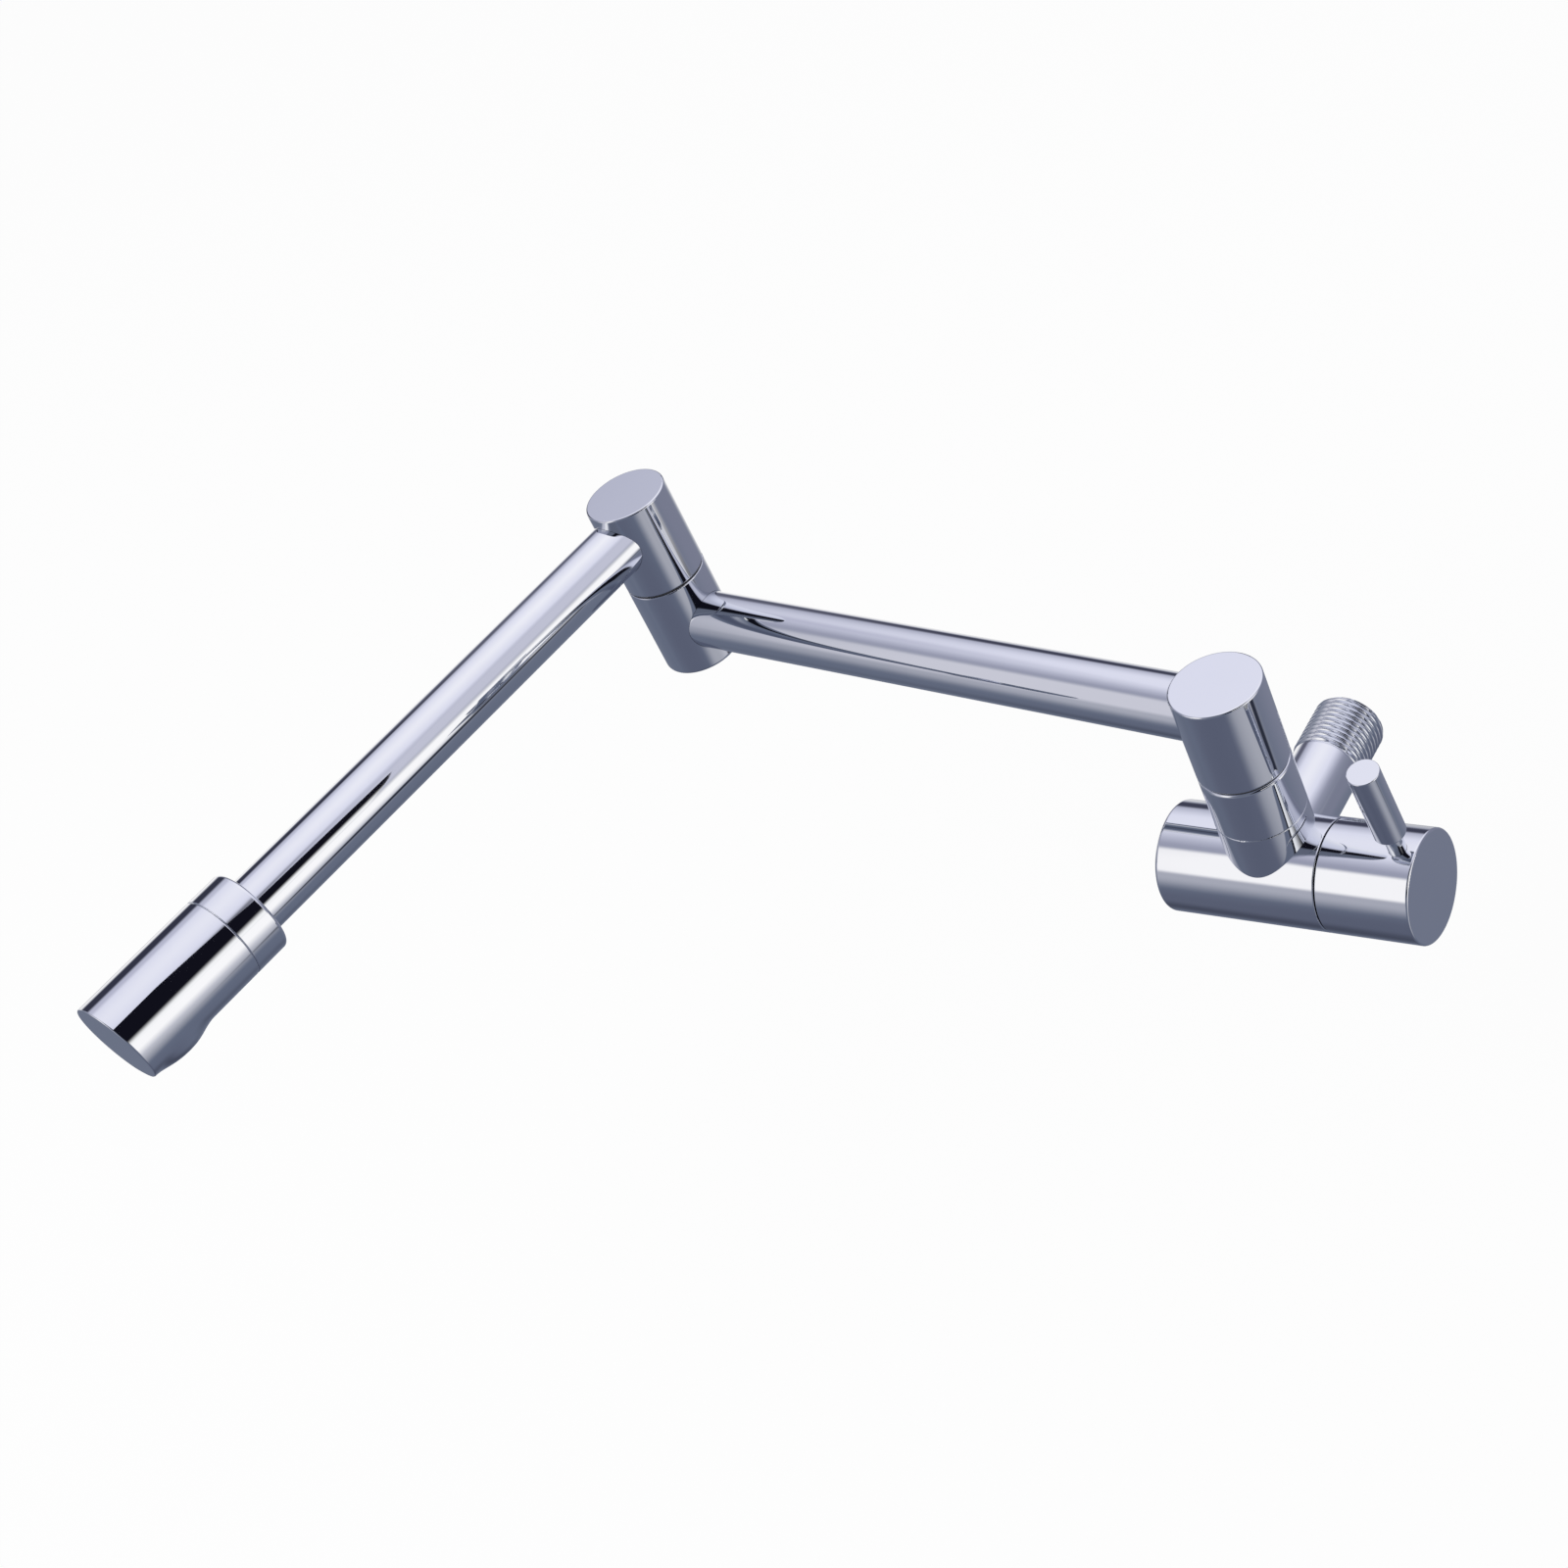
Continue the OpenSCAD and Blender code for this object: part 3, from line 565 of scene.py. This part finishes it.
def drill(piece, centre, radius, bottom, top):
    """Cuts an upright round hole into a piece."""
    rim = circle(radius, OUTLET_AROUND)
    rings = [[(centre.x + x, centre.y + y, z) for x, y in rim] for z in (bottom, top)]
    cutter = skin("outlet_cutter", rings)
    hole = piece.modifiers.new("outlet", "BOOLEAN")
    hole.operation = "DIFFERENCE"
    hole.solver = "EXACT"
    hole.object = cutter
    bpy.context.view_layer.update()
    depsgraph = bpy.context.evaluated_depsgraph_get()
    cut = bpy.data.meshes.new_from_object(piece.evaluated_get(depsgraph))
    even_triangles(cut)
    piece.modifiers.clear()
    piece.data = cut
    bpy.data.objects.remove(cutter)


def true_normals(piece, to_local, form, outlet, start, end):
    """Gives the head's outer skin the normals of its formula, so that reflections run clean."""
    mesh = piece.data
    turn = to_local.inverted().to_3x3()
    lean = math.tan(form.end_rake)
    normals = [Vector(normal.vector) for normal in mesh.corner_normals]
    places = np.array([tuple(to_local @ vertex.co) for vertex in mesh.vertices])
    slopes = head_slope(*places.T, form, outlet)
    depths = head_distance(*places.T, form, outlet)
    for face in mesh.polygons:
        middle = to_local @ face.center
        depth = float(head_distance(*middle, form, outlet))
        between_rims = start + form.rim < middle.x < end + middle.z * lean - form.rim
        if abs(depth) > ON_SURFACE or not between_rims:
            continue
        for loop in face.loop_indices:
            vertex = mesh.loops[loop].vertex_index
            if abs(depths[vertex]) < ON_SURFACE:
                normals[loop] = (turn @ Vector(slopes[vertex])).normalized()
    mesh.normals_split_custom_set([tuple(normal) for normal in normals])


class TAP_OT_spout_head(bpy.types.Operator):
    """Make the spout head with the smooth swelling round its outlet"""
    bl_idname = "tap.spout_head"
    bl_label = "Spout head"

    def execute(self, context):
        form = context.scene.tap_form
        origin, direction, side = upper_arm_axes()
        start, far = reach("spout_head", origin, direction)
        end = far - form.head_radius * math.tan(form.end_rake)
        shell_low, shell_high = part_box("aerator_shell")
        middle = (shell_low + shell_high) / 2
        outlet = (middle - origin).dot(direction)
        bore = (shell_high.x - shell_low.x) / 2 + OUTLET_ROOM
        washer_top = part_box("aerator_washer")[1].z
        basis = Matrix((direction, side, (0, 0, 1))).transposed().to_4x4()
        to_world = Matrix.Translation(origin) @ basis
        rings = head_rings(form, start, end, outlet)
        placed = [[to_world @ Vector(point) for point in ring] for ring in rings]
        piece = skin("spout_head_shell", placed)
        drill(piece, middle, bore, origin.z - 2 * form.boss_drop, washer_top)
        smooth(piece.data, HEAD_CRISP_ANGLE)
        true_normals(piece, to_world.inverted(), form, outlet, start, end)
        dress(piece, "chrome", "upper_arm", "spout_head")
        return {"FINISHED"}


# Stage

HALF_TURN_DEGREES = 180
TENT_AROUND = 48
TENT_ABOVE = 24
TENT_UP = Vector((0, 0.49, 0.87)).normalized()

# Painted reflection: tone of the tent's glow by degrees above its horizon, as the chrome shows it
PAINTED_REFLECTION_TONES = [(-90, (80, 86, 106)), (-60, (88, 94, 114)), (-45, (96, 104, 124)), (-12, (106, 113, 132)),
              (4, (120, 127, 145)), (20, (140, 145, 164)), (34, (152, 155, 176)), (44, (178, 181, 201)),
              (58, (216, 218, 236)), (90, (238, 239, 248))]

# Painted reflections laid on the tent as bright highlights and dark bands: centre round and above, half width and
# height, softness of sides and ends, tone
PAINTED_REFLECTION_PANELS = [
    (115, 12, 34, 26, 12, 12, (118, 122, 142)),
    (240, 48, 9, 4, 10, 6, (178, 180, 202)),
    (285, -24, 27, 15, 20, 13, (164, 167, 181)),
    (178, -56, 34, 12, 20, 14, (66, 71, 88)),
    (195, 3, 30, 11, 20, 9, (236, 236, 240)),
    (195, 28, 42, 8, 8, 5, (92, 94, 112)),
    (167, 30, 14, 8, 6, 5, (60, 62, 80)),
    (224, 27, 11, 13, 5, 5, (50, 52, 68)),
    (282, 4, 14, 21, 8, 6, (198, 199, 212)),
    (296, 4, 9, 21, 6, 4, (243, 243, 247)),
    (338, 12, 26, 36, 8, 8, (98, 104, 121)),
    (9, 21, 22, 28, 5, 5, (16, 17, 26)),
    (52, 32, 14, 16, 6, 8, (190, 192, 210)),
    (58, -38, 26, 16, 14, 18, (160, 163, 175)),
    (66, -18, 16, 10, 10, 10, (195, 197, 208)),
    (84, -24, 4, 8, 2, 3, (40, 44, 58)),
    (62, -2, 21, 14, 5, 8, (247, 247, 250)),
]

# Card beside the tap, a glowing sheet that paints a dark reflection band with a light foot into the chrome:
# corners, tones at its foot and top, and the heights between which they change
CARD_CORNERS = [(0.30, -0.30, 0.15), (0.30, -0.08, 0.15), (0.30, -0.030, 0.42),
                (0.30, -0.102, 0.60), (0.30, -0.102, 1.0), (0.30, -0.30, 1.0)]
CARD_TONES = ((243, 244, 247), (16, 16, 26))
CARD_HEIGHTS = (0.17, 0.30)

FLOOR_HALF_WIDTH = 6.0
FLOOR_COLOUR = (0.93, 0.93, 0.94, 1)
FLOOR_ROUGHNESS = 0.9
WORLD_COLOUR = (0.975, 0.975, 0.98, 1)
WORLD_LIGHT = 0.65
LAMP_PLACE = (-0.5, -1.1, 1.4)
LAMP_SIZE = 1.2
LAMP_POWER = 9.0
SENSOR_MILLIMETRES = 36
NEAREST_SEEN = 0.01


def linear(value):
    """Light of a screen value from 0 to 255, by the curve of sRGB above its darkest tones."""
    return ((value / 255 + 0.055) / 1.055) ** 2.4


def shades(*values):
    """Emission that a mirror of the chrome's colour shows as this screen colour, given from 0 to 255."""
    chrome = bpy.context.scene.tap_finish.chrome
    return [linear(value) / share for value, share in zip(values, chrome)] + [1]


def build_panel_group():
    """A soft-edged patch of painted reflection on the tent, by its place in degrees round and above the tent's
    horizon.
    """
    tree, given, result = new_group(
        "painted reflection panel",
        [("Round", FLOAT, 0.0), ("Above", FLOAT, 0.0), ("Centre round", FLOAT, 0.0),
         ("Centre above", FLOAT, 0.0), ("Half width", FLOAT, 10.0), ("Half height", FLOAT, 10.0),
         ("Soft sides", FLOAT, 3.0), ("Soft ends", FLOAT, 3.0),
         ("Under", COLOUR, (0, 0, 0, 1)), ("Panel", COLOUR, (1, 1, 1, 1))],
        [("Colour", COLOUR, None)])

    def within(offset, half, soft):
        """1 inside a half width, 0 outside it, with a soft change between."""
        beyond = maths(tree, "SUBTRACT", maths(tree, "ABSOLUTE", offset), half)
        return add(tree, "ShaderNodeMapRange", {"Value": maths(tree, "DIVIDE", beyond, soft),
                                                "From Min": -1.0, "From Max": 1.0,
                                                "To Min": 1.0, "To Max": 0.0},
                   interpolation_type="SMOOTHSTEP").outputs[0]

    turn = maths(tree, "SUBTRACT", given["Round"], given["Centre round"])
    turn = maths(tree, "WRAP", turn, HALF_TURN_DEGREES, -HALF_TURN_DEGREES)
    rise = maths(tree, "SUBTRACT", given["Above"], given["Centre above"])
    mask = maths(tree, "MULTIPLY", within(turn, given["Half width"], given["Soft sides"]),
                 within(rise, given["Half height"], given["Soft ends"]))
    mixed = add(tree, "ShaderNodeMix", data_type="RGBA")
    for label, source in (("Factor", mask), ("A", given["Under"]), ("B", given["Panel"])):
        socket = next(s for s in mixed.inputs if s.name == label and s.enabled)
        tree.links.new(source, socket)
    tree.links.new(next(s for s in mixed.outputs if s.enabled), result["Colour"])


def cleared_tree(holder):
    """The empty node tree of a new material or world."""
    holder.use_nodes = True
    holder.node_tree.nodes.clear()
    return holder.node_tree


def glow(material, colour):
    """Ends a material in a glow that is seen but isn't sampled as a lamp."""
    tree = material.node_tree
    shader = add(tree, "ShaderNodeEmission", {"Color": colour, "Strength": 1.0})
    add(tree, "ShaderNodeOutputMaterial", {0: shader.outputs[0]})
    material.cycles.emission_sampling = "NONE"


def seen_directly(tree):
    """1 for rays from the camera, a mirror or a clear piece, and 0 for the rays that light the scene."""
    ray = add(tree, "ShaderNodeLightPath").outputs
    return maths(tree, "MAXIMUM", ray["Is Camera Ray"],
                 maths(tree, "MAXIMUM", ray["Is Glossy Ray"], ray["Is Transmission Ray"]))


def seen_by_metal_only(piece):
    """Makes a card or tent show in the chrome and nowhere else, as painted reflection."""
    piece.visible_camera = False
    piece.visible_diffuse = False
    piece.visible_shadow = False
    piece.visible_volume_scatter = False


def painted_reflection_material():
    """The tent's glow, which is painted reflection for the chrome: tones by height, with the soft-edged patches
    laid over them.
    """
    material = bpy.data.materials.new("tent")
    tree = cleared_tree(material)
    place = add(tree, "ShaderNodeTexCoord").outputs["Object"]
    unit = add(tree, "ShaderNodeVectorMath", {0: place}, operation="NORMALIZE").outputs[0]
    parts = add(tree, "ShaderNodeSeparateXYZ", {0: unit}).outputs
    degrees = HALF_TURN_DEGREES / math.pi
    turn = maths(tree, "MULTIPLY", maths(tree, "ARCTAN2", parts[1], parts[0]), degrees)
    rise = maths(tree, "MULTIPLY", maths(tree, "ARCSINE", parts[2]), degrees)
    share = maths(tree, "MULTIPLY_ADD", rise, 1 / HALF_TURN_DEGREES, 0.5)
    ramp = add(tree, "ShaderNodeValToRGB", {0: share})
    elements = ramp.color_ramp.elements
    while len(elements) < len(PAINTED_REFLECTION_TONES):
        elements.new(0.5)
    for element, (angle, tone) in zip(elements, PAINTED_REFLECTION_TONES):
        element.position = angle / HALF_TURN_DEGREES + 0.5
        element.color = shades(*tone)
    colour = ramp.outputs[0]
    for centre_round, centre_above, width, height, sides, ends, tone in PAINTED_REFLECTION_PANELS:
        colour = group_node(tree, "painted reflection panel", {
            "Round": turn, "Above": rise, "Centre round": centre_round, "Centre above": centre_above,
            "Half width": width, "Half height": height, "Soft sides": sides, "Soft ends": ends,
            "Under": colour, "Panel": shades(*tone)}).outputs[0]
    glow(material, colour)
    return material


def tent_axes():
    """Front, side and up of the tent: it leans back from the upright, with its front to the camera."""
    front = (CAMERA_BACK - CAMERA_BACK.dot(TENT_UP) * TENT_UP).normalized()
    return front, TENT_UP.cross(front), TENT_UP


def build_tent(radius, centre):
    """The tent: a great glowing sphere round the tap, which only the metal sees, so its glow is painted reflection
    that lights nothing.
    """
    rings = []
    for i in range(1, TENT_ABOVE):
        rise = math.pi * (i / TENT_ABOVE - 0.5)
        height = radius * math.sin(rise)
        rings.append([(x, y, height) for x, y in circle(radius * math.cos(rise), TENT_AROUND)])
    tent = skin("tent", rings)
    tent.matrix_world = Matrix.Translation(centre) @ Matrix(tent_axes()).transposed().to_4x4()
    tent.data.materials.append(painted_reflection_material())
    seen_by_metal_only(tent)


def build_card(name, corners, tones, heights):
    """A flat glowing card near the tap, seen only in the chrome as painted reflection, whose tone changes between
    two heights.
    """
    lower, upper = heights
    card = mesh_object(name, corners, [tuple(range(len(corners)))])
    material = bpy.data.materials.new(name)
    tree = cleared_tree(material)
    place = add(tree, "ShaderNodeTexCoord").outputs["Object"]
    height = add(tree, "ShaderNodeSeparateXYZ", {0: place}).outputs[2]
    share = add(tree, "ShaderNodeMapRange", {"Value": height, "From Min": lower, "From Max": upper},
                interpolation_type="SMOOTHSTEP").outputs[0]
    ramp = add(tree, "ShaderNodeValToRGB", {0: share})
    for element, tone in zip(ramp.color_ramp.elements, tones):
        element.color = shades(*tone)
    glow(material, ramp.outputs[0])
    card.data.materials.append(material)
    seen_by_metal_only(card)


def build_floor(z, lift):
    """A pale floor that takes the tap's shadow and is lifted towards white where it is seen."""
    half = FLOOR_HALF_WIDTH
    corners = [(-half, -half, z), (half, -half, z), (half, half, z), (-half, half, z)]
    floor = mesh_object("floor", corners, [(0, 1, 2, 3)])
    material = bpy.data.materials.new("floor")
    material.use_nodes = True
    tree = material.node_tree
    shader = node_of(tree, "BSDF_PRINCIPLED")
    shader.inputs["Base Color"].default_value = FLOOR_COLOUR
    shader.inputs["Roughness"].default_value = FLOOR_ROUGHNESS
    shader.inputs["Specular IOR Level"].default_value = 0.0
    white = add(tree, "ShaderNodeEmission", {"Color": (1, 1, 1, 1), "Strength": 1.0})
    both = add(tree, "ShaderNodeMixShader", {0: maths(tree, "MULTIPLY", seen_directly(tree), lift),
                                             1: shader.outputs[0], 2: white.outputs[0]})
    tree.links.new(both.outputs[0], node_of(tree, "OUTPUT_MATERIAL").inputs[0])
    floor.data.materials.append(material)
    floor.visible_glossy = False


def build_world():
    """An even world, full where it is seen and dimmer where it lights the scene."""
    world = bpy.data.worlds.new("studio")
    tree = cleared_tree(world)
    strength = maths(tree, "MULTIPLY_ADD", seen_directly(tree), 1 - WORLD_LIGHT, WORLD_LIGHT)
    shader = add(tree, "ShaderNodeBackground", {"Color": WORLD_COLOUR, "Strength": strength})
    add(tree, "ShaderNodeOutputWorld", {0: shader.outputs[0]})
    bpy.context.scene.world = world
    # The chrome sees the tent alone, so the world sends no light past it
    world.cycles_visibility.glossy = False


def build_lamp(name, place, target, size, power):
    """A soft round lamp that looks at a target and doesn't show in the chrome."""
    light = bpy.data.lights.new(name, "AREA")
    light.shape = "DISK"
    light.size = size
    light.energy = power
    lamp = new_object(name, light)
    lamp.location = place
    lamp.rotation_mode = "QUATERNION"
    lamp.rotation_quaternion = (Vector(target) - Vector(place)).to_track_quat("-Z", "Y")
    lamp.visible_glossy = False


def build_camera(lens):
    """The camera, at the place and with the axes that were fitted to the photograph."""
    view = bpy.data.cameras.new("camera")
    view.lens = lens
    view.sensor_width = SENSOR_MILLIMETRES
    view.clip_start = NEAREST_SEEN
    camera = new_object("camera", view)
    axes = Matrix((CAMERA_RIGHT, CAMERA_UP, CAMERA_BACK)).transposed().to_4x4()
    camera.matrix_world = Matrix.Translation(CAMERA_PLACE) @ axes
    bpy.context.scene.camera = camera


class TAP_OT_stage(bpy.types.Operator):
    """Set the world, the floor, the tent and the card that paint reflections in the chrome, the lamp and the
    camera
    """
    bl_idname = "tap.stage"
    bl_label = "Stage"

    def execute(self, context):
        stage = context.scene.tap_stage
        centre = (CAD_LOW + CAD_HIGH) / 2
        build_panel_group()
        build_world()
        build_floor(CAD_LOW.z - stage.floor_drop, stage.floor_lift)
        build_tent(stage.tent_radius, centre)
        build_card("painted_reflection_card", CARD_CORNERS, CARD_TONES, CARD_HEIGHTS)
        build_lamp("key_lamp", LAMP_PLACE, centre, LAMP_SIZE, LAMP_POWER)
        build_camera(stage.lens)
        context.scene.view_settings.view_transform = "Standard"
        return {"FINISHED"}


class TAP_PT_panel(bpy.types.Panel):
    """Settings and operators of the tap, in the sidebar"""
    bl_idname = "TAP_PT_panel"
    bl_label = "Folding wall tap"
    bl_space_type = "VIEW_3D"
    bl_region_type = "UI"
    bl_category = "Tap"

    def draw(self, context):
        for title, holder, operators in (
                ("Finishes", context.scene.tap_finish, (TAP_OT_finishes,)),
                ("Forms", context.scene.tap_form, (TAP_OT_threaded_inlet, TAP_OT_spout_head)),
                ("Stage", context.scene.tap_stage, (TAP_OT_stage,))):
            box = self.layout.box()
            box.label(text=title)
            for name in holder.bl_rna.properties.keys():
                if name not in ("rna_type", "name"):
                    box.prop(holder, name)
            for operator in operators:
                box.operator(operator.bl_idname)


SETTINGS = {"tap_finish": TapFinishSettings, "tap_form": TapFormSettings, "tap_stage": TapStageSettings}
CLASSES = (*SETTINGS.values(), TAP_OT_finishes, TAP_OT_threaded_inlet, TAP_OT_spout_head, TAP_OT_stage,
           TAP_PT_panel)


def register():
    """Makes the classes and the scene's settings known."""
    for kind in CLASSES:
        bpy.utils.register_class(kind)
    for name, kind in SETTINGS.items():
        setattr(bpy.types.Scene, name, PointerProperty(type=kind))


def unregister():
    """Takes away what register made."""
    for name in reversed(SETTINGS):
        delattr(bpy.types.Scene, name)
    for kind in reversed(CLASSES):
        bpy.utils.unregister_class(kind)


def main():
    """Makes everything in its order."""
    register()
    bpy.ops.tap.finishes()
    bpy.ops.tap.threaded_inlet()
    bpy.ops.tap.spout_head()
    bpy.ops.tap.stage()


if __name__ == "__main__":
    main()
